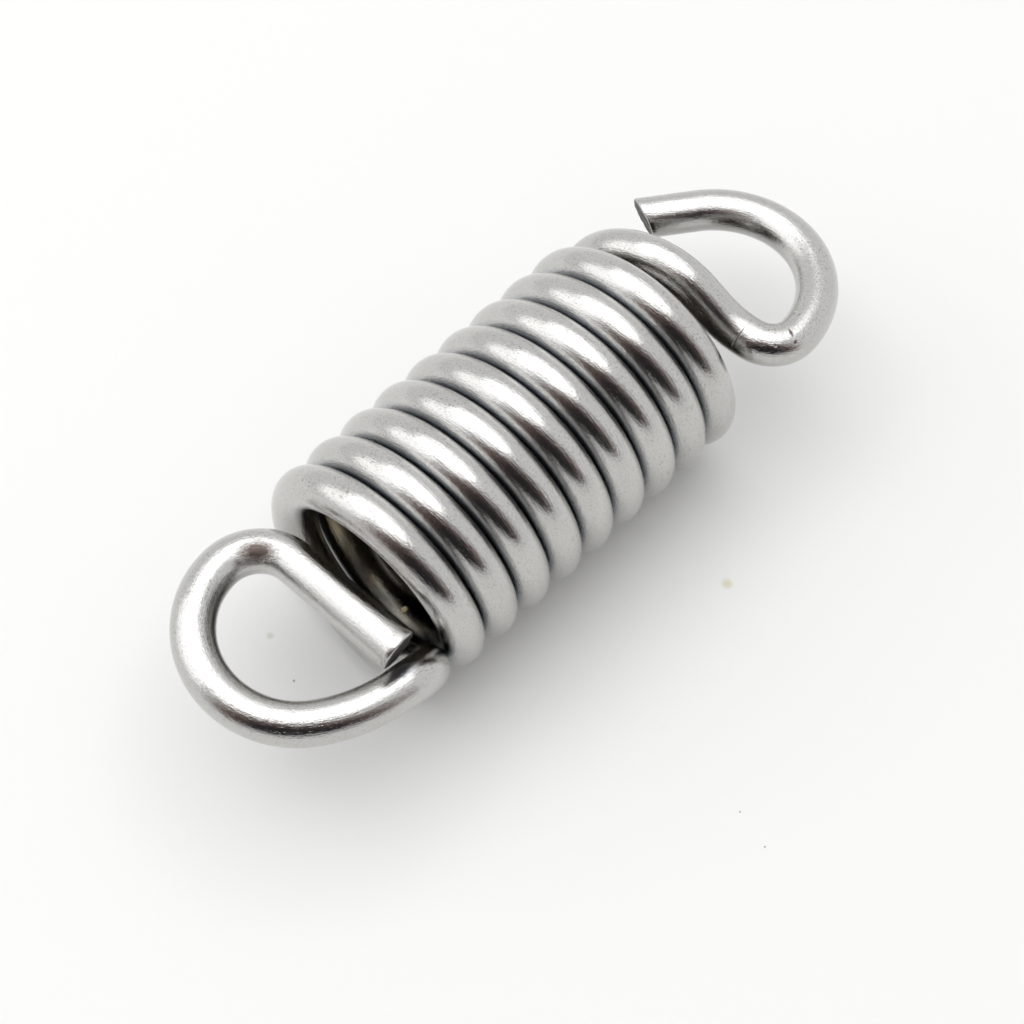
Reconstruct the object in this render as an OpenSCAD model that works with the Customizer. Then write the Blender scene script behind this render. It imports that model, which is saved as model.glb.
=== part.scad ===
// Extension spring: one length of round steel wire, wound right-handed into a close coil.
// One end is a closed loop whose leg lies across the coil's mouth, the other an open hook.
// The wire is drawn the way a forming machine makes it: each bend starts where the last
// one ended, and the bending plane is turned about the wire between two bends.
// The coil's axis lies along X and the part rests on its coil, at Z = 0.

/* [Wire] */
// diameter of the wire
wire_d = 2.5; // [2:0.05:2.5]
// chamfer at the two cut ends
cut_chamfer = 0.12; // [0.05:0.01:0.3]

/* [Coil] */
// outer diameter of the coil
coil_outer_d = 14.76; // [14:0.02:15.5]
// quarter turns between the two ends' bends
quarter_turns = 35; // [15:1:39]
// free gap between neighbouring turns
turn_gap = 0.04; // [0.02:0.01:0.12]

/* [Closed loop] */
// radius of the half turn that leads from the coil to the loop
loop_lead_r = 5.9; // [5.6:0.05:6.2]
// angle of that half turn
loop_lead_angle = 200.6; // [195:0.1:204]
// straight wire before the knee
loop_lead_feed = 1.6; // [1:0.05:2]
// radius of the knee, where the wire turns away from the coil
loop_knee_r = 2.2; // [2:0.05:2.6]
// angle of the knee
loop_knee_angle = 86.5; // [82:0.5:91]
// straight wire after the knee
loop_knee_feed = 0.9; // [0.2:0.05:1.5]
// radius of the loop's flat side
loop_side_r = 10.35; // [8:0.05:12]
// angle of the flat side
loop_side_angle = 26; // [22:0.5:30]
// radius of the loop's round side
loop_eye_r = 5.45; // [5:0.05:6]
// angle of the round side
loop_eye_angle = 140.5; // [136:0.5:145]
// radius of the tight bend into the leg
loop_leg_r = 2.75; // [2.3:0.05:3.2]
// angle of that bend
loop_leg_angle = 95.5; // [91:0.5:99]
// length of the straight leg
loop_leg_length = 8; // [5:0.1:8.3]

/* [Open hook] */
// radius of the half turn that leads from the coil to the hook
hook_lead_r = 5.05; // [4.8:0.05:5.4]
// angle of that half turn
hook_lead_angle = 155.7; // [150:0.1:160]
// straight wire before the reverse bend
hook_lead_feed = 1.35; // [0.8:0.05:1.8]
// radius of the slight reverse bend
hook_reverse_r = 5.8; // [5:0.1:7]
// angle of the reverse bend
hook_reverse_angle = 27; // [22:0.5:32]
// radius of the knee at the root of the hook
hook_knee_r = 2.1; // [2:0.05:2.5]
// angle of the knee
hook_knee_angle = 84; // [78:0.5:90]
// radius of the hook
hook_r = 6.05; // [5.6:0.05:6.4]
// angle of the hook
hook_angle = 136.5; // [120:0.5:142]
// straight wire before the cut end
hook_tip_feed = 3.15; // [1:0.05:3.6]

/* [Hidden] */
// turns of the bending plane about the wire, before each bend
loop_lead_roll = 6.95;
loop_lead_twist = 6.3;
loop_knee_roll = 85.1;
loop_side_roll = -68.2;
loop_leg_roll = -11.5;
hook_lead_roll = 8.9;
hook_lead_twist = 4.05;
hook_reverse_roll = 177.7;
hook_knee_roll = -83.3;
hook_roll = -10.8;
// where the coil starts, as an angle round its axis from the top
coil_start = 319.6;
// sides of the wire's section, and the arc between two sections in the coil and its ends
wire_sides = 16;
coil_section_step = 15;
end_section_step = 12;

coil_r = (coil_outer_d - wire_d) / 2;
pitch = wire_d + turn_gap;
quarter = 90;
// sine of half the roll between two quarter turns that gives the pitch
half_roll_sine = pitch / (8 * coil_r);
coil_roll = 2 * asin(half_roll_sine);
coil_bend_r = coil_r * (1 + pow(half_roll_sine, 2)) / sqrt(1 - pow(half_roll_sine, 2));

// one quarter turn as a screw motion: its angle, axis and the place of the axis
screw_angle = 2 * acos(cos(quarter / 2) * cos(coil_roll / 2));
screw_axis = [-sin(quarter / 2) * sin(coil_roll / 2),
              cos(quarter / 2) * sin(coil_roll / 2),
              sin(quarter / 2) * cos(coil_roll / 2)] / sin(screw_angle / 2);
screw_step = coil_bend_r * [cos(quarter) - 1, sin(quarter), 0];
screw_side = screw_step - (screw_step * screw_axis) * screw_axis;
screw_centre = (screw_side + cross(screw_axis, screw_side) / tan(screw_angle / 2)) / 2;
out_dir = -screw_centre / norm(screw_centre);
side_dir = cross(screw_axis, out_dir);

// Moves of a wire that runs along +Y. Each is a placement and the roll it holds.
function shift(v) = [[1, 0, 0, v[0]], [0, 1, 0, v[1]], [0, 0, 1, v[2]], [0, 0, 0, 1]];
function turn_z(a) = [[cos(a), -sin(a), 0, 0], [sin(a), cos(a), 0, 0], [0, 0, 1, 0], [0, 0, 0, 1]];
function turn_y(a) = [[cos(a), 0, sin(a), 0], [0, 1, 0, 0], [-sin(a), 0, cos(a), 0], [0, 0, 0, 1]];
function arc(r, angle) = shift([-r, 0, 0]) * turn_z(angle) * shift([r, 0, 0]);

// a straight stretch
function feed(length) = [[shift([0, length, 0]), 0]];

// a bend towards -X, after the bending plane has been turned by roll
function bend(roll, r, angle, section_step) =
    let (count = ceil(angle / section_step))
    [for (i = [1 : count])
        i == 1 ? [turn_y(roll) * arc(r, angle / count), roll] : [arc(r, angle / count), 0]];

function end_bend(roll, r, angle) = bend(roll, r, angle, end_section_step);

coil_moves = [for (i = [1 : quarter_turns], move = bend(i == 1 ? 0 : coil_roll, coil_bend_r, quarter, coil_section_step)) move];

closed_loop_moves = concat(
    end_bend(loop_lead_roll, loop_lead_r, loop_lead_angle / 2),
    end_bend(loop_lead_twist, loop_lead_r, loop_lead_angle / 2),
    feed(loop_lead_feed),
    end_bend(loop_knee_roll, loop_knee_r, loop_knee_angle),
    feed(loop_knee_feed),
    end_bend(loop_side_roll, loop_side_r, loop_side_angle),
    end_bend(0, loop_eye_r, loop_eye_angle),
    end_bend(loop_leg_roll, loop_leg_r, loop_leg_angle),
    feed(loop_leg_length));

open_hook_moves = concat(
    end_bend(coil_roll + hook_lead_roll, hook_lead_r, hook_lead_angle / 2),
    end_bend(hook_lead_twist, hook_lead_r, hook_lead_angle / 2),
    feed(hook_lead_feed),
    end_bend(hook_reverse_roll, hook_reverse_r, hook_reverse_angle),
    end_bend(hook_knee_roll, hook_knee_r, hook_knee_angle),
    end_bend(hook_roll, hook_r, hook_angle),
    feed(hook_tip_feed));

// the placement of each section along the moves, with the rolls added up so far
function places(start, moves) =
    [for (i = 0, place = start, rolled = 0;
          i <= len(moves);
          place = i < len(moves) ? place * moves[i][0] : place,
          rolled = i < len(moves) ? rolled + moves[i][1] : rolled,
          i = i + 1)
        [place, rolled]];

// a section's corners; the rolls are taken out again, so the wire's skin runs straight
function section(at, radius, sense) =
    [for (i = [0 : wire_sides - 1])
        let (a = sense * i * 360 / wire_sides + at[1], c = at[0] * [radius * cos(a), 0, radius * sin(a), 1])
        [c[0], c[1], c[2]]];

// the last section of a cut end, drawn in by the chamfer
function cut_section(at, sense) =
    section([at[0] * shift([0, cut_chamfer, 0]), at[1]], wire_d / 2 - cut_chamfer, sense);

// from the coil's own axis to the part's: the coil's start at the asked angle round X
coil_frame = [[screw_axis[0], screw_axis[1], screw_axis[2], 0],
              [out_dir[0], out_dir[1], out_dir[2], coil_r],
              [side_dir[0], side_dir[1], side_dir[2], 0],
              [0, 0, 0, 1]];
turn_x = [[1, 0, 0, 0],
          [0, cos(coil_start + quarter), -sin(coil_start + quarter), 0],
          [0, sin(coil_start + quarter), cos(coil_start + quarter), 0],
          [0, 0, 0, 1]];
coil_begin = turn_x * coil_frame;
half_turn_x = [[1, 0, 0, 0], [0, -1, 0, 0], [0, 0, -1, 0], [0, 0, 0, 1]];

coil_places = places(coil_begin, coil_moves);
loop_places = places(coil_begin * half_turn_x, closed_loop_moves);
hook_places = places(coil_places[len(coil_moves)][0], open_hook_moves);
hook_rolled = coil_places[len(coil_moves)][1];

sections = concat(
    [cut_section(loop_places[len(closed_loop_moves)], -1)],
    [for (i = [len(closed_loop_moves) : -1 : 1]) section(loop_places[i], wire_d / 2, -1)],
    [for (at = coil_places) section(at, wire_d / 2, 1)],
    [for (i = [1 : len(open_hook_moves)])
        section([hook_places[i][0], hook_places[i][1] + hook_rolled], wire_d / 2, 1)],
    [let (at = hook_places[len(open_hook_moves)]) cut_section([at[0], at[1] + hook_rolled], 1)]);

corners = [for (s = sections, p = s) p];
low = [for (k = [0 : 2]) min([for (p = corners) p[k]])];
high = [for (k = [0 : 2]) max([for (p = corners) p[k]])];

function corner(row, i) = row * wire_sides + i % wire_sides;

skin = [for (row = [0 : len(sections) - 2], i = [0 : wire_sides - 1], half = [0, 1])
    half == 0
        ? [corner(row, i), corner(row, i + 1), corner(row + 1, i)]
        : [corner(row, i + 1), corner(row + 1, i + 1), corner(row + 1, i)]];
first_cut = [for (i = [wire_sides - 1 : -1 : 0]) corner(0, i)];
last_cut = [for (i = [0 : wire_sides - 1]) corner(len(sections) - 1, i)];

module spring_wire() {
    color([0.72, 0.72, 0.71])
        translate([-(low[0] + high[0]) / 2, -(low[1] + high[1]) / 2, -low[2]])
            polyhedron(points = corners, faces = concat(skin, [first_cut, last_cut]));
}

spring_wire();
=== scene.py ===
# %% [markdown]
# # A steel extension spring
# One length of round spring wire, close-wound into a coil. One end is a closed loop
# whose leg lies across the coil's mouth, the other is an open hook. This file dresses
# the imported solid: it sweeps a truly round wire along the same bends, gives it the skin
# of bright drawn steel, and lights it in a small white studio.

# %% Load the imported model
import bmesh
import bpy
import math
import numpy as np
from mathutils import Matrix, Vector


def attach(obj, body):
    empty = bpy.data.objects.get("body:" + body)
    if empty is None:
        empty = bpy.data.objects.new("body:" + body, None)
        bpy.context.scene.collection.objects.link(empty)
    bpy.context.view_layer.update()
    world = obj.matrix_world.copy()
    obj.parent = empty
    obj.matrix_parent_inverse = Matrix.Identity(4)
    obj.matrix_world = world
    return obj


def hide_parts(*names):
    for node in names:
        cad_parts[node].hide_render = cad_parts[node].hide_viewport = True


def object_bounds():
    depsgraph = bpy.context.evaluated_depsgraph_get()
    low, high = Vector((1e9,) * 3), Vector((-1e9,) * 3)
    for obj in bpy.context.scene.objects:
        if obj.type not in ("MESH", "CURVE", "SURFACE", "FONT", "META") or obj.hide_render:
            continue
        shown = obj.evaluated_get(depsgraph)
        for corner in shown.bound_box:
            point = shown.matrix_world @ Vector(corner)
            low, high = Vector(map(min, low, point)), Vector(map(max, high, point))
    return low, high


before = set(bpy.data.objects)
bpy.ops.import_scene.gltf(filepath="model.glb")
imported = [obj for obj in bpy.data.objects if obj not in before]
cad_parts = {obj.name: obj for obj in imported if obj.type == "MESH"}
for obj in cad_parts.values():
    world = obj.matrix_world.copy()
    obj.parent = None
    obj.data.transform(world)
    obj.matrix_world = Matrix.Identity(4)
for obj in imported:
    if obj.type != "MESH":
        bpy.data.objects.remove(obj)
CAD_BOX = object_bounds()
MM = 0.001
print("CAD box, mm:", [[round(v / MM, 2) for v in corner] for corner in CAD_BOX])

# %% [markdown]
# ## Two helpers
# Colours are written as a colour picker shows them and turned to linear light by one
# function. Shader and geometry trees are easier to read when a node, its settings and
# its links are one call.

# %% Helpers
def colour(code):
    """Turns a hex code to linear light."""
    channels = [int(code[i:i + 2], 16) / 255 for i in (1, 3, 5)]
    return tuple(c / 12.92 if c <= 0.04045 else ((c + 0.055) / 1.055) ** 2.4
                 for c in channels) + (1.0,)


def add(tree, kind, settings=None, **inputs):
    """Adds a node, sets its properties, and fills or links its inputs.

    An input goes by its name, with _ for each space, or by its number: i3 is input 3.
    """
    made = tree.nodes.new(kind)
    for key, value in (settings or {}).items():
        setattr(made, key, value)
    for key, value in inputs.items():
        numbered = key[0] == "i" and key[1:].isdigit()
        target = made.inputs[int(key[1:]) if numbered else key.replace("_", " ")]
        if isinstance(value, bpy.types.NodeSocket):
            tree.links.new(value, target)
        else:
            target.default_value = value
    return made


# %% [markdown]
# ## The camera
# The photograph looks down on the spring from in front of the loop, with a long lens.
# The place and the angle come from fitting the wire's outline, so they are plain
# numbers here. There is no roll, no shift and no blur.

# %% Camera
camera_data = bpy.data.cameras.new("camera")
camera_data.sensor_width = 36
camera_data.lens = 80.86
camera_data.clip_start = 0.005
camera = bpy.data.objects.new("camera", camera_data)
camera.location = (-47.0 * MM, -46.5 * MM, 120.1 * MM)
camera.rotation_euler = (math.radians(29.04), 0, math.radians(-45.16))
bpy.context.collection.objects.link(camera)
bpy.context.scene.camera = camera
print("camera is", round(camera.location.length / MM), "mm from the part's origin")

# %% [markdown]
# ## The path of the wire
# A spring former makes the real part: it feeds wire, bends it round a tool, and turns
# the bending plane between two bends. A hand-drawn curve would only come near that
# shape, so the path here is built the same way, from the same radii and angles as the
# solid. Each move is a small placement in the wire's own frame, where the wire runs
# along Y and a bend turns it towards -X.

# %% Moves of the former
WIRE_D = 2.5 * MM
COIL_R = 6.13 * MM        # from the coil's axis to the middle of the wire
TURN_PITCH = 2.54 * MM    # one wire and the gap beside it
QUARTER_TURNS = 35
RING_SPACING = 0.3 * MM   # along the wire, short enough for the tightest bend
FACETS = 36               # round the wire


def placed(x=0.0, y=0.0, z=0.0, turn=None, angle=0.0):
    """A placement: a shift, and a turn about one axis by degrees."""
    m = np.eye(4)
    c, s = math.cos(math.radians(angle)), math.sin(math.radians(angle))
    if turn == "Z":
        m[:2, :2] = [[c, -s], [s, c]]
    if turn == "Y":
        m[0, 0], m[0, 2], m[2, 0], m[2, 2] = c, s, -s, c
    if turn == "X":
        m[1:3, 1:3] = [[c, -s], [s, c]]
    m[:3, 3] = (x, y, z)
    return m


def feed(length):
    """A straight stretch, as a list of short moves."""
    count = max(1, round(length / RING_SPACING))
    return [placed(y=length / count)] * count


def bend(roll, radius, angle):
    """A bend, as a list of short moves, after the bending plane has been rolled."""
    count = max(2, round(radius * math.radians(angle) / RING_SPACING))
    step = placed(x=-radius) @ placed(turn="Z", angle=angle / count) @ placed(x=radius)
    return [placed(turn="Y", angle=roll) @ step] + [step] * (count - 1)


# %% The three stretches
half_roll_sine = TURN_PITCH / (8 * COIL_R)
coil_roll = 2 * math.degrees(math.asin(half_roll_sine))
coil_bend_r = COIL_R * (1 + half_roll_sine ** 2) / math.sqrt(1 - half_roll_sine ** 2)

coil = []
for i in range(QUARTER_TURNS):
    coil += bend(coil_roll if i else 0, coil_bend_r, 90)

# both ends run outwards from the coil; a bend is its roll, radius and angle
closed_loop = (
    # the half turn that leads out of the coil
    bend(6.95, 5.9 * MM, 100.3) + bend(6.3, 5.9 * MM, 100.3) + feed(1.6 * MM)
    # the knee
    + bend(85.1, 2.2 * MM, 86.5) + feed(0.9 * MM)
    # the flat side and the round side
    + bend(-68.2, 10.35 * MM, 26) + bend(0, 5.45 * MM, 140.5)
    # the tight bend and the straight leg
    + bend(-11.5, 2.75 * MM, 95.5) + feed(8 * MM))

open_hook = (
    # the half turn that leads out of the coil
    bend(coil_roll + 8.9, 5.05 * MM, 77.85) + bend(4.05, 5.05 * MM, 77.85) + feed(1.35 * MM)
    # the slight reverse bend and the knee
    + bend(177.7, 5.8 * MM, 27) + bend(-83.3, 2.1 * MM, 84)
    # the hook and its straight tip
    + bend(-10.8, 6.05 * MM, 136.5) + feed(3.15 * MM))
print("moves:", len(closed_loop), "loop,", len(coil), "coil,", len(open_hook), "hook")

# %% [markdown]
# ## Lay the coil's axis along X
# A quarter turn followed by a roll is a screw motion. Its axis is worked out from the
# bend and the roll, and the first placement is chosen so that this axis lies along X.

# %% The axis of the coil
half_quarter, half_roll = math.radians(45), math.radians(coil_roll / 2)
screw_angle = 2 * math.acos(math.cos(half_quarter) * math.cos(half_roll))
screw_axis = np.array([-math.sin(half_quarter) * math.sin(half_roll),
                       math.cos(half_quarter) * math.sin(half_roll),
                       math.sin(half_quarter) * math.cos(half_roll)]) / math.sin(screw_angle / 2)
screw_step = coil_bend_r * np.array([-1.0, 1.0, 0.0])
screw_side = screw_step - screw_step @ screw_axis * screw_axis
screw_centre = (screw_side + np.cross(screw_axis, screw_side) / math.tan(screw_angle / 2)) / 2
out_dir = -screw_centre / np.linalg.norm(screw_centre)
print("one quarter turn moves along the axis by", round(screw_step @ screw_axis / MM, 3), "mm")

# %% The path's points
# where the coil starts: as an angle round its axis, and as a point on that axis
COIL_START = 319.6
COIL_AXIS_AT = (-10.7876 * MM, 0.3795 * MM, 7.3514 * MM)
to_axis = np.eye(4)
to_axis[:3, :3] = [screw_axis, out_dir, np.cross(screw_axis, out_dir)]
to_axis[1, 3] = COIL_R
coil_begin = placed(*COIL_AXIS_AT) @ placed(turn="X", angle=COIL_START + 90) @ to_axis


def run(start, moves):
    """The placements along a list of moves, with the first one."""
    places = [start]
    for move in moves:
        places.append(places[-1] @ move)
    return places


coil_places = run(coil_begin, coil)
loop_places = run(coil_begin @ placed(turn="X", angle=180), closed_loop)
hook_places = run(coil_places[-1], open_hook)
path = np.array([p[:3, 3] for p in loop_places[:0:-1] + coil_places + hook_places[1:]])
steps = np.linalg.norm(np.diff(path, axis=0), axis=1)
ALONG = np.concatenate([[0], np.cumsum(steps)])
print("wire length", round(ALONG[-1] / MM, 1), "mm in", len(path), "points")

# %% [markdown]
# ## Sweep the wire with Geometry Nodes
# A tube could be a bevelled curve, but the skin of drawn wire has lines that run along
# it for its whole length, so the surface needs to know where it lies on the straight
# wire. The tree stores that place as an attribute, wire_space: X and Y across the wire
# and Z along it, as if the wire had never been bent. The tree also sets the material,
# so an empty one is made now, and it gets its nodes once the shape is done.

# %% The sweep tree
def sweep_tree(material):
    """Sweeps a round section along a curve and stores each point's wire_space."""
    tree = bpy.data.node_groups.new("sweep_wire", "GeometryNodeTree")
    for name, way, kind in (("Geometry", "INPUT", "Geometry"),
                            ("Wire diameter", "INPUT", "Float"),
                            ("Facets round the wire", "INPUT", "Int"),
                            ("Geometry", "OUTPUT", "Geometry")):
        tree.interface.new_socket(name, in_out=way, socket_type="NodeSocket" + kind)
    given = add(tree, "NodeGroupInput").outputs
    # the curve, without twist, and the length along it at each point
    even = add(tree, "GeometryNodeSetCurveNormal", {"mode": "MINIMUM_TWIST"},
               Curve=given["Geometry"])
    length = add(tree, "GeometryNodeSplineParameter")
    on_path = add(tree, "GeometryNodeCaptureAttribute", Geometry=even.outputs[0])
    on_path.capture_items.new("FLOAT", "Along")
    tree.links.new(length.outputs["Length"], on_path.inputs["Along"])
    # the round section, and each of its points' place across the wire
    radius = add(tree, "ShaderNodeMath", {"operation": "MULTIPLY"},
                 i0=given["Wire diameter"], i1=0.5)
    ring = add(tree, "GeometryNodeCurvePrimitiveCircle",
               Resolution=given["Facets round the wire"], Radius=radius.outputs[0])
    on_ring = add(tree, "GeometryNodeCaptureAttribute", Geometry=ring.outputs[0])
    on_ring.capture_items.new("VECTOR", "Across")
    place = add(tree, "GeometryNodeInputPosition")
    tree.links.new(place.outputs[0], on_ring.inputs["Across"])
    # the tube, with both stored as one place on the straight wire
    tube = add(tree, "GeometryNodeCurveToMesh", Curve=on_path.outputs["Geometry"],
               Profile_Curve=on_ring.outputs["Geometry"])
    across = add(tree, "ShaderNodeSeparateXYZ", i0=on_ring.outputs["Across"])
    straight_place = add(tree, "ShaderNodeCombineXYZ", X=across.outputs[0],
                         Y=across.outputs[1], Z=on_path.outputs["Along"])
    stored = add(tree, "GeometryNodeStoreNamedAttribute",
                 {"data_type": "FLOAT_VECTOR", "domain": "POINT"}, Geometry=tube.outputs[0],
                 Name="wire_space", Value=straight_place.outputs[0])
    smooth = add(tree, "GeometryNodeSetShadeSmooth", Geometry=stored.outputs[0])
    real = add(tree, "GeometryNodeRealizeInstances", Geometry=smooth.outputs[0])
    dressed = add(tree, "GeometryNodeSetMaterial", Geometry=real.outputs[0], Material=material)
    add(tree, "NodeGroupOutput", Geometry=dressed.outputs[0])
    return tree


# %% Sweep and keep a plain mesh
path_curve = bpy.data.curves.new("wire_path", "CURVE")
path_curve.dimensions = "3D"
spline = path_curve.splines.new("POLY")
spline.points.add(len(path) - 1)
spline.points.foreach_set("co", np.column_stack([path, np.ones(len(path))]).ravel())
path_object = bpy.data.objects.new("wire_path", path_curve)
bpy.context.collection.objects.link(path_object)

steel = bpy.data.materials.new("bright_drawn_spring_steel")
wire_sweep = sweep_tree(steel)
sweep = path_object.modifiers.new("sweep", "NODES")
sweep.node_group = wire_sweep
sockets = {s.name: s.identifier for s in wire_sweep.interface.items_tree if s.in_out == "INPUT"}
sweep[sockets["Wire diameter"]] = WIRE_D
sweep[sockets["Facets round the wire"]] = FACETS
path_object.update_tag()
graph = bpy.context.evaluated_depsgraph_get()
wire_mesh = bpy.data.meshes.new_from_object(path_object.evaluated_get(graph), depsgraph=graph)
path_object.modifiers.remove(sweep)
bpy.data.objects.remove(path_object)
print("swept wire:", len(wire_mesh.vertices), "points,", len(wire_mesh.polygons), "faces of",
      wire_mesh.materials[0].name)

# %% [markdown]
# ## The two cut ends
# A cutter shears the wire. It draws the edge in, leaves the first part of the face
# smooth and tears the rest lower. Both cuts lean from square, so the last straight
# stretch is skewed before its face is closed. That is done point by point on the mesh,
# because only these two small faces need it.

# %% Cut ends
# how far each cut leans from square, in degrees, and the side that is cut back
HOOK_CUT_TILT = 18
HOOK_CUT_SIDE = Vector((-0.62, -0.616, -0.486)).normalized()
LEG_CUT_TILT = 14
LEG_CUT_SIDE = Vector((0.39, 0.39, -0.86))
SKEW_LENGTH = 3.15 * MM
# rings from the edge to the middle: share of the radius, and how far it stands out in mm
CUT_RINGS = ((0.975, 0.045), (0.93, 0.085), (0.88, 0.10), (0.80, 0.075), (0.66, 0.05),
             (0.5, 0.03), (0.33, 0.02), (0.16, 0.02))
CUT_MIDDLE = 0.02         # mm that the middle stands out
TORN_DEPTH = 0.10         # mm that the torn half lies lower
TORN_START = -0.15        # the tear starts here across the face, in radii from its middle
TORN_SLOPE = 0.3          # and reaches its depth over this share of the radius
TORN_RIM = 1 / 5          # the tear starts from nothing over this share at the edge
FACE_GRAIN = 0.03         # mm of random rise and fall


def clamped(share):
    """Keeps a share between 0 and 1."""
    return min(1, max(0, share))


def close_cut(skin, space, ring, outward, grip, seed):
    """Closes one end of the tube with a drawn-in rim and a face torn on its grip side."""
    random = np.random.default_rng(seed)
    middle = sum((v.co for v in ring), Vector()) / len(ring)
    middle_space = sum((v[space] for v in ring), Vector()) / len(ring)
    rims = [(v.co - middle, v[space] - middle_space) for v in ring]
    sense = 1 if middle_space.z > 0 else -1
    before = ring
    for part, height in CUT_RINGS:
        made = []
        for offset, across in rims:
            side = offset.dot(grip) / (WIRE_D / 2)
            torn = clamped((side - TORN_START) / TORN_SLOPE) * min(1, (1 - part) / TORN_RIM)
            grain = FACE_GRAIN * (1 - part) ** 0.3 * random.normal()
            rise = (height - TORN_DEPTH * torn + grain) * MM
            inward = Vector((0, 0, sense * (1 - part) * WIRE_D / 2))
            vert = skin.verts.new(middle + offset * part + outward * rise)
            vert[space] = middle_space + across * part + inward
            made.append(vert)
        for i in range(len(ring)):
            j = (i + 1) % len(ring)
            skin.faces.new((before[i], before[j], made[j], made[i])).smooth = True
        before = made
    last = skin.verts.new(middle + outward * CUT_MIDDLE * MM)
    last[space] = middle_space + Vector((0, 0, sense * WIRE_D / 2))
    for i in range(len(ring)):
        skin.faces.new((before[i], before[(i + 1) % len(ring)], last)).smooth = True


def lean_end(skin, space, end_at, end_along, outward, side, tilt):
    """Skews the last straight stretch, so that the square end becomes a leaning cut."""
    side = (side - outward * side.dot(outward)).normalized()
    for vert in skin.verts:
        near_end = 1 - abs(end_along - vert[space].z) / SKEW_LENGTH
        if near_end > 0:
            lean = math.tan(math.radians(tilt)) * (vert.co - end_at).dot(side)
            vert.co -= outward * (lean * near_end)
    return side


# %% Lean and close both ends
skin = bmesh.new()
skin.from_mesh(wire_mesh)
skin.verts.ensure_lookup_table()
space = skin.verts.layers.float_vector["wire_space"]
hook_end, hook_out = Vector(path[-1]), Vector(path[-1] - path[-2]).normalized()
leg_end, leg_out = Vector(path[0]), Vector(path[0] - path[1]).normalized()
hook_side = lean_end(skin, space, hook_end, ALONG[-1], hook_out, HOOK_CUT_SIDE, HOOK_CUT_TILT)
leg_side = lean_end(skin, space, leg_end, 0, leg_out, LEG_CUT_SIDE, LEG_CUT_TILT)
# the sweep starts at the leg, so its ring comes first and the hook's last
leg_ring, hook_ring = skin.verts[:FACETS], skin.verts[-FACETS:]
close_cut(skin, space, leg_ring, leg_out, leg_side, seed=3)
close_cut(skin, space, hook_ring, hook_out, hook_side, seed=5)
bmesh.ops.recalc_face_normals(skin, faces=skin.faces)
open_edges = sum(1 for e in skin.edges if len(e.link_faces) != 2)
skin.to_mesh(wire_mesh)
skin.free()
print("closed wire:", len(wire_mesh.vertices), "points,", open_edges, "open edges")

# %% [markdown]
# ## Fit the skin to the solid
# The solid's wire has flat facets, so a truly round wire would stand past its box by up
# to 0.03 mm. The skin is drawn in by that little, as one scale along each axis.

# %% Draw the skin in
at = np.empty(len(wire_mesh.vertices) * 3)
wire_mesh.vertices.foreach_get("co", at)
at = at.reshape(-1, 3)
skin_low, skin_high = at.min(axis=0), at.max(axis=0)
cad_low, cad_high = np.array(CAD_BOX)
drawn_in = np.minimum(1, (cad_high - cad_low) / (skin_high - skin_low))
at = (at - (skin_low + skin_high) / 2) * drawn_in + (cad_low + cad_high) / 2
wire_mesh.vertices.foreach_set("co", at.ravel())
wire_mesh.update()
print("skin scaled to the solid's box by", drawn_in.round(4))

# %% [markdown]
# ## Where grime, stains and painted shade gather
# Grime collects where two stretches of wire nearly touch, and the shade that falls there is
# painted in with it, so each point of the skin stores its clear distance to the rest of the
# wire. The bore and the cut faces store a mask each; through its mask the bore is stained
# and painted darker as shade. Numpy works these out once, and the material only reads them.

# %% Clear distance to the rest of the wire
OWN_STRETCH = 7 * MM      # nearer along the wire than this is the same stretch
FAR_OFF = 1               # metres, past everything
GAP_LIMIT = 3             # mm, wider gaps get neither grime nor painted shade
AT_ONCE = 2000            # points in one block, to save memory
straight = np.empty(len(at) * 3)
wire_mesh.attributes["wire_space"].data.foreach_get("vector", straight)
straight = straight.reshape(-1, 3)
# every second point of the path is near enough for a distance
others, others_along = path[::2], ALONG[::2]
gap = np.empty(len(at))
for first in range(0, len(at), AT_ONCE):
    block = slice(first, first + AT_ONCE)
    far = np.linalg.norm(at[block, None, :] - others[None, :, :], axis=2)
    far[np.abs(straight[block, None, 2] - others_along[None, :]) < OWN_STRETCH] = FAR_OFF
    gap[block] = far.min(axis=1) - WIRE_D / 2
gap = np.clip(gap / MM, 0, GAP_LIMIT)
print("gap", round(gap.min(), 3), "to", round(gap.max(), 2), "mm")

# %% Bore and cut masks
BORE_INSET, BORE_FADE = 0.15 * MM, 0.5 * MM
CUT_RIM, CUT_FADE = 0.95, 0.05    # shares of the radius
from_axis = np.hypot(at[:, 1] - COIL_AXIS_AT[1], at[:, 2] - COIL_AXIS_AT[2])
coil_from, coil_to = ALONG[len(closed_loop)], ALONG[len(closed_loop) + len(coil)]
in_coil = (straight[:, 2] > coil_from) & (straight[:, 2] < coil_to)
bore = np.clip((COIL_R - BORE_INSET - from_axis) / BORE_FADE, 0, 1) * in_coil
face_part = np.hypot(straight[:, 0], straight[:, 1]) / (WIRE_D / 2)
cut = np.clip((CUT_RIM - face_part) / CUT_FADE, 0, 1)
for name, values in (("gap", gap), ("bore", bore), ("cut", cut)):
    stored = wire_mesh.attributes.new(name, "FLOAT", "POINT")
    stored.data.foreach_set("value", values.astype(np.float32))
print("bore points", int((bore > 0.5).sum()), "cut points", int((cut > 0.5).sum()))

# %% [markdown]
# ## Marks on the wire
# Each mark that the photograph shows is an oval spot. It is placed on the part and then
# looked up on the straight wire, where it can be long and narrow along the wire. Noise
# frays its edge, so that it doesn't look like a stamp.

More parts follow.
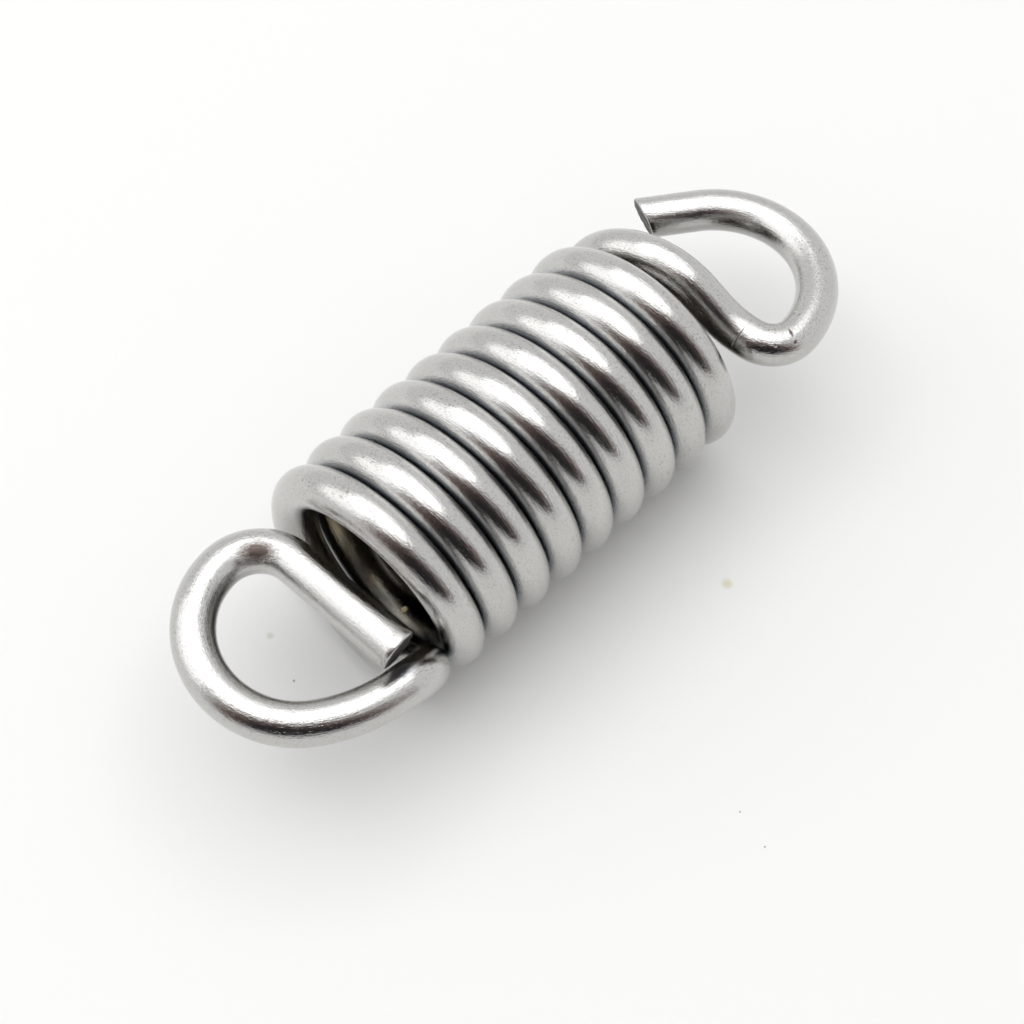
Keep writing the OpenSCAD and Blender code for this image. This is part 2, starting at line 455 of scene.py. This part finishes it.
# %% Marks
# each mark: its place on the part, its reach round and along the wire, all in mm; its tint
MARKS = {
    "scuffed bend": ((-15.46, 4.2, 10.88), 0.50, 1.20, "#5b4b45"),
    "nick in the knee": ((15.84, -6.47, 10.32), 0.26, 0.08, "#554a44"),
    "left pit": ((14.57, -6.46, 10.18), 0.08, 0.08, "#6b5a50"),
    "right pit": ((15.59, -7.13, 10.05), 0.11, 0.09, "#5d4c43"),
    "scratch by the knee": ((13.34, -4.56, 10.06), 0.62, 0.05, "#4d4643"),
    "notch in the hook's end": ((16.9, 5.9, 8.3), 0.22, 0.20, "#3f3a37"),
    "yellow fleck in the bore": ((-9.6, -0.62, 2.54), 0.20, 0.22, "#c4b88c"),
}
FRAY = 1.3                # how far the noise moves a spot's edge, in reaches
mark_places = {}
for name, mark in MARKS.items():
    aside = np.linalg.norm(at - np.array(mark[0]) * MM, axis=1)
    mark_places[name] = straight[np.argmin(aside)]
    print(name, "is", round(aside.min() / MM, 2), "mm from the skin's nearest point")


def spot(tree, surface, place, across, along, ragged):
    """A mask for an oval spot with a ragged edge, across by along millimetres in reach.

    The surface is wire_space on the wire, where Z runs along it, or the table's own
    coordinates.
    """
    per_reach = (1 / (across * MM), 1 / (across * MM), 1 / (along * MM))
    aside = add(tree, "ShaderNodeVectorMath", {"operation": "SUBTRACT"},
                i0=surface, i1=tuple(place))
    scaled = add(tree, "ShaderNodeVectorMath", {"operation": "MULTIPLY"},
                 i0=aside.outputs[0], i1=per_reach)
    reaches = add(tree, "ShaderNodeVectorMath", {"operation": "LENGTH"}, i0=scaled.outputs[0])
    frayed = add(tree, "ShaderNodeMath", {"operation": "MULTIPLY_ADD"},
                 i0=ragged, i1=FRAY, i2=reaches.outputs["Value"])
    return add(tree, "ShaderNodeMapRange", Value=frayed.outputs[0], From_Min=1.2,
               From_Max=2.0, To_Min=0.9, To_Max=0.0).outputs[0]


# %% [markdown]
# ## Bright drawn spring steel
# The wire was pulled through a die, which burnishes it and leaves fine lines along it.
# It is a bare metal, so metallic is 1 and the colour is the reflection's tint. The die's
# lines and short dashes along the wire fray the edge of every reflection. Between the
# turns sits grey grime with painted shade, the bore is stained and painted darker as shade,
# and the two cut faces are torn, dull metal.
# The finest real marks are too small to show, so each pattern is drawn as coarse as it
# has to be to show.

# %% Patterns of the skin
def noise(tree, surface, across, along, detail, roughness):
    """Noise whose features are across by along millimetres."""
    scale = (1 / (across * MM), 1 / (across * MM), 1 / (along * MM))
    sized = add(tree, "ShaderNodeMapping", Vector=surface, Scale=scale)
    return add(tree, "ShaderNodeTexNoise", Vector=sized.outputs[0], Scale=1.0,
               Detail=detail, Roughness=roughness).outputs[0]


steel.use_nodes = True
skin_tree = steel.node_tree
skin_tree.nodes.clear()
on_wire = add(skin_tree, "ShaderNodeAttribute",
              {"attribute_name": "wire_space"}).outputs["Vector"]
clear_gap, in_bore, on_cut = [
    add(skin_tree, "ShaderNodeAttribute", {"attribute_name": name}).outputs["Fac"]
    for name in ("gap", "bore", "cut")]
die_lines = noise(skin_tree, on_wire, 0.08, 1.3, 2.0, 0.6)
dashes = noise(skin_tree, on_wire, 0.11, 0.34, 3.0, 0.7)
grit = noise(skin_tree, on_wire, 0.07, 0.10, 2.0, 0.7)
patches = noise(skin_tree, on_wire, 2.5, 4.0, 3.0, 0.5)
speckle = noise(skin_tree, on_wire, 0.13, 0.15, 1.0, 0.5)
clouds = noise(skin_tree, on_wire, 1.6, 3.0, 2.0, 0.5)
print("patterns of the skin:", len(skin_tree.nodes), "nodes")

# %% Masks of the finish
dark_flecks = add(skin_tree, "ShaderNodeMapRange", Value=grit, From_Min=0.54,
                  From_Max=0.72, To_Max=0.55).outputs[0]
# brown specks gather in loose clouds
specks = add(skin_tree, "ShaderNodeMapRange", Value=speckle, From_Min=0.63,
             From_Max=0.73).outputs[0]
cloudy = add(skin_tree, "ShaderNodeMapRange", Value=clouds, From_Min=0.46,
             From_Max=0.64, To_Max=0.7).outputs[0]
brown_specks = add(skin_tree, "ShaderNodeMath", {"operation": "MULTIPLY"},
                   i0=specks, i1=cloudy).outputs[0]
# grime and painted shade fill the gaps, with the dashes worn into their edge
worn_gap = add(skin_tree, "ShaderNodeMath", {"operation": "MULTIPLY_ADD"},
               i0=dashes, i1=0.5, i2=clear_gap).outputs[0]
grime_and_shade = add(skin_tree, "ShaderNodeMapRange", Value=worn_gap, From_Min=0.26,
            From_Max=0.75, To_Min=0.75, To_Max=0.0).outputs[0]
stain = add(skin_tree, "ShaderNodeMapRange", Value=patches, From_Min=0.4,
            From_Max=0.62).outputs[0]
spots = [spot(skin_tree, on_wire, mark_places[name], across, along, dashes)
         for name, (_, across, along, _) in MARKS.items()]
marked = spots[0]
for mask in spots[1:]:
    marked = add(skin_tree, "ShaderNodeMath", {"operation": "MAXIMUM"},
                 i0=marked, i1=mask).outputs[0]
print("masks of the finish:", len(skin_tree.nodes), "nodes")

# %% Tone of the steel
MIX_COLOURS = {"data_type": "RGBA"}
tone = add(skin_tree, "ShaderNodeMix", MIX_COLOURS, i0=patches, i6=colour("#bebdba"),
           i7=colour("#cbcac8")).outputs[2]
# the bore's two tones: an olive stain, and painted shade that darkens the inside of the coil
bore_stain_and_shade = add(skin_tree, "ShaderNodeMix", MIX_COLOURS, i0=stain, i6=colour("#64635f"),
                i7=colour("#7a7160")).outputs[2]
# each layer is laid over the ones before it, where its mask is 1
# the grey between the turns is grime and painted shade, darker where the wires nearly touch
layers = [(dark_flecks, colour("#77736f")), (brown_specks, colour("#8d7d71")),
          (grime_and_shade, colour("#7b828c")), (in_bore, bore_stain_and_shade), (on_cut, colour("#5d5a57"))]
layers += [(mask, colour(mark[3])) for mask, mark in zip(spots, MARKS.values())]
for mask, tint in layers:
    tone = add(skin_tree, "ShaderNodeMix", MIX_COLOURS, i0=mask, i6=tone, i7=tint).outputs[2]
print("tone of the steel:", len(layers), "layers")

# %% Polish and relief
rough = add(skin_tree, "ShaderNodeMapRange", Value=dashes, From_Min=0.3, From_Max=0.7,
            To_Min=0.03, To_Max=0.08).outputs[0]
for mask, dull in ((grime_and_shade, 0.30), (on_cut, 0.45), (marked, 0.5)):
    rough = add(skin_tree, "ShaderNodeMix", i0=mask, i2=rough, i3=dull).outputs[0]

# each pattern's height in mm; the marks go inwards
relief = {}
for pattern, height, inwards in ((die_lines, 0.010, False), (dashes, 0.015, False),
                                 (grit, 0.008, False), (marked, 0.025, True)):
    bump = add(skin_tree, "ShaderNodeBump", {"invert": inwards}, Strength=1.0,
               Distance=height * MM, Height=pattern, **relief)
    relief = {"Normal": bump.outputs[0]}
metal = add(skin_tree, "ShaderNodeBsdfPrincipled", Base_Color=tone, Roughness=rough,
            Metallic=1.0, **relief)
add(skin_tree, "ShaderNodeOutputMaterial", Surface=metal.outputs[0])
print("bright drawn spring steel:", len(skin_tree.nodes), "nodes")

# %% Dress the wire
wire = bpy.data.objects.new("spring_wire_skin", wire_mesh)
bpy.context.collection.objects.link(wire)
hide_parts("spring_wire")
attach(wire, "root")
print("the skin stands for spring_wire, in", [m.name for m in wire_mesh.materials])

# %% [markdown]
# ## The table
# The photograph's ground is plain white with a soft shadow and a few specks of dust. One
# large flat face is enough. The dust is part of its colour, because specks this small
# have no shape that shows.

# %% Table
HALF_TABLE = 3            # metres
TABLE_DROP = 0.01 * MM    # keeps the table just clear of the coil
FIBRE = 1 / 9             # mm between the fibres that fray the dust's edges
# dust on the table: its place and its reach in mm, and its tint
DUST = (((-16.39, 1.59), 0.07, "#968a79"),
        ((-15.43, 4.69), 0.20, "#e2e3d8"),
        ((-4.30, -21.95), 0.05, "#8a7a68"),
        ((-4.86, -24.31), 0.05, "#8a7a68"),
        ((5.78, -11.82), 0.30, "#e6e1cc"))

floor_mesh = bpy.data.meshes.new("table")
corners = [(x * HALF_TABLE, y * HALF_TABLE, 0) for x, y in ((-1, -1), (1, -1), (1, 1), (-1, 1))]
floor_mesh.from_pydata(corners, [], [(0, 1, 2, 3)])
floor = bpy.data.objects.new("table", floor_mesh)
floor.location.z = -TABLE_DROP
bpy.context.collection.objects.link(floor)

table_top = bpy.data.materials.new("white_table_top")
table_top.use_nodes = True
table_tree = table_top.node_tree
table_tree.nodes.clear()
on_table = add(table_tree, "ShaderNodeTexCoord").outputs["Object"]
fibres = noise(table_tree, on_table, FIBRE, FIBRE, 2.0, 0.5)
white = colour("#f8f8f7")
for (x, y), reach, tint in DUST:
    mask = spot(table_tree, on_table, (x * MM, y * MM, 0), reach, reach, fibres)
    white = add(table_tree, "ShaderNodeMix", MIX_COLOURS, i0=mask, i6=white,
                i7=colour(tint)).outputs[2]
top = add(table_tree, "ShaderNodeBsdfPrincipled", Base_Color=white, Roughness=0.7)
add(table_tree, "ShaderNodeOutputMaterial", Surface=top.outputs[0])
floor_mesh.materials.append(table_top)
print("table with", len(DUST), "specks of dust")

# %% [markdown]
# ## The white room
# Bare metal shows its surroundings, so the studio is half of the look. The world is an
# even white room. Light Path gives it a level for each use: the camera sees plain
# white, the metal mirrors a slightly cool white, and the table gets less light than
# that, so that it doesn't clip.

# %% White room
ROOM_LIGHT = (0.52, 0.52, 0.52, 1)
ROOM_IN_METAL = (0.90, 0.905, 0.91, 1)
ROOM_SEEN = (1, 1, 1, 1)
bpy.context.scene.view_settings.view_transform = "Standard"
world = bpy.data.worlds.new("white_room")
bpy.context.scene.world = world
world.use_nodes = True
room_tree = world.node_tree
room_tree.nodes.clear()
ray = add(room_tree, "ShaderNodeLightPath")
in_metal = add(room_tree, "ShaderNodeMix", MIX_COLOURS, i0=ray.outputs["Is Glossy Ray"],
               i6=ROOM_LIGHT, i7=ROOM_IN_METAL)
room = add(room_tree, "ShaderNodeMix", MIX_COLOURS, i0=ray.outputs["Is Camera Ray"],
           i6=in_metal.outputs[2], i7=ROOM_SEEN)
sky = add(room_tree, "ShaderNodeBackground", Color=room.outputs[2], Strength=1.0)
add(room_tree, "ShaderNodeOutputWorld", Surface=sky.outputs[0])
print("room light", ROOM_LIGHT[0], "and", ROOM_IN_METAL[:3], "in the metal")

# %% [markdown]
# ## Two soft lamps
# Metal shows a lamp as a bright patch with the lamp's own outline. So both lamps are
# large discs: one overhead, which gives each turn its white band, and a weaker one up
# behind to the left, like a window. They add to what the metal sees of the room.

# %% Soft lamps
def direction(azimuth, elevation):
    """A unit vector, from angles in degrees."""
    a, e = math.radians(azimuth), math.radians(elevation)
    return Vector((math.cos(a) * math.cos(e), math.sin(a) * math.cos(e), math.sin(e)))


def soft_lamp(name, azimuth, elevation, distance, diameter, radiance):
    """A disc lamp that faces the part; radiance is how bright its own face looks."""
    data = bpy.data.lights.new(name, "AREA")
    data.shape = "DISK"
    data.size = diameter
    data.energy = radiance * math.pi * math.pi * diameter ** 2 / 4
    made = bpy.data.objects.new(name, data)
    made.location = direction(azimuth, elevation) * distance
    made.rotation_euler = made.location.to_track_quat("Z", "Y").to_euler()
    bpy.context.collection.objects.link(made)
    print(name, round(data.energy, 2), "W")


soft_lamp("overhead_lamp", 60, 80, distance=0.6, diameter=0.76, radiance=1.50)
soft_lamp("window_lamp", 128, 38, distance=0.6, diameter=0.56, radiance=0.85)

# %% [markdown]
# ## The dark card
# In the photograph each turn mirrors something dark on the camera's side, with a brown
# upper edge. Here it is a card bent like a piece of a globe round the part, which only
# the metal sees. Each of its points stores a tone: nearly black in the core, brown
# further out, and then clear.

# %% Card shape and tones
CARD_ROWS, CARD_COLUMNS = 25, 41
CARD_AZIMUTHS = np.linspace(-205, -70, CARD_COLUMNS)    # degrees, seen from the part
CARD_ELEVATIONS = np.linspace(5, 75, CARD_ROWS)
CARD_R = 0.4              # metres from the part
CORE_AZIMUTH, CORE_ELEVATION = -128, 24
# how far the card reaches from its core, in degrees
REACH_LEFT, REACH_RIGHT, REACH_UP, REACH_DOWN = 62, 52, 44, 60
# shares of that reach: where black turns to brown, and where the card is gone
BLACK_ENDS, BROWN_WIDTH = 0.45, 0.5
CARD_ENDS, CLEAR_WIDTH = 1.15, 0.3
BLACK_TONE, BROWN_TONE = colour("#2f2e2f"), colour("#84716c")

card_points, card_tones = [], []
for elevation in CARD_ELEVATIONS:
    for azimuth in CARD_AZIMUTHS:
        left, low = azimuth < CORE_AZIMUTH, elevation <= CORE_ELEVATION
        away = math.hypot((azimuth - CORE_AZIMUTH) / (REACH_LEFT if left else REACH_RIGHT),
                          (elevation - CORE_ELEVATION) / (REACH_DOWN if low else REACH_UP))
        brown = clamped((away - BLACK_ENDS) / BROWN_WIDTH)
        cover = clamped((CARD_ENDS - away) / CLEAR_WIDTH)
        tone_here = [b + (w - b) * brown for b, w in zip(BLACK_TONE[:3], BROWN_TONE[:3])]
        card_points.append(tuple(direction(azimuth, elevation) * CARD_R))
        card_tones.append(tone_here + [cover])
card_faces = [(j * CARD_COLUMNS + i, j * CARD_COLUMNS + i + 1,
               (j + 1) * CARD_COLUMNS + i + 1, (j + 1) * CARD_COLUMNS + i)
              for j in range(CARD_ROWS - 1) for i in range(CARD_COLUMNS - 1)]
card_mesh = bpy.data.meshes.new("dark_card")
card_mesh.from_pydata(card_points, [], card_faces)
tones = card_mesh.attributes.new("tone", "FLOAT_COLOR", "POINT")
tones.data.foreach_set("color", np.array(card_tones).ravel())
print("dark card:", len(card_faces), "faces")

# %% Hang the card
card = bpy.data.objects.new("dark_card", card_mesh)
bpy.context.collection.objects.link(card)
card.visible_camera = False
card.visible_diffuse = False
card.visible_shadow = False
dark_cloth = bpy.data.materials.new("dark_card_cloth")
dark_cloth.use_nodes = True
cloth_tree = dark_cloth.node_tree
cloth_tree.nodes.clear()
stored_tone = add(cloth_tree, "ShaderNodeAttribute", {"attribute_name": "tone"})
cloth = add(cloth_tree, "ShaderNodeEmission", Color=stored_tone.outputs["Color"], Strength=1.0)
clear = add(cloth_tree, "ShaderNodeBsdfTransparent")
faded = add(cloth_tree, "ShaderNodeMixShader", i0=stored_tone.outputs["Alpha"],
            i1=clear.outputs[0], i2=cloth.outputs[0])
add(cloth_tree, "ShaderNodeOutputMaterial", Surface=faded.outputs[0])
card_mesh.materials.append(dark_cloth)
print("the card is seen by the metal only")
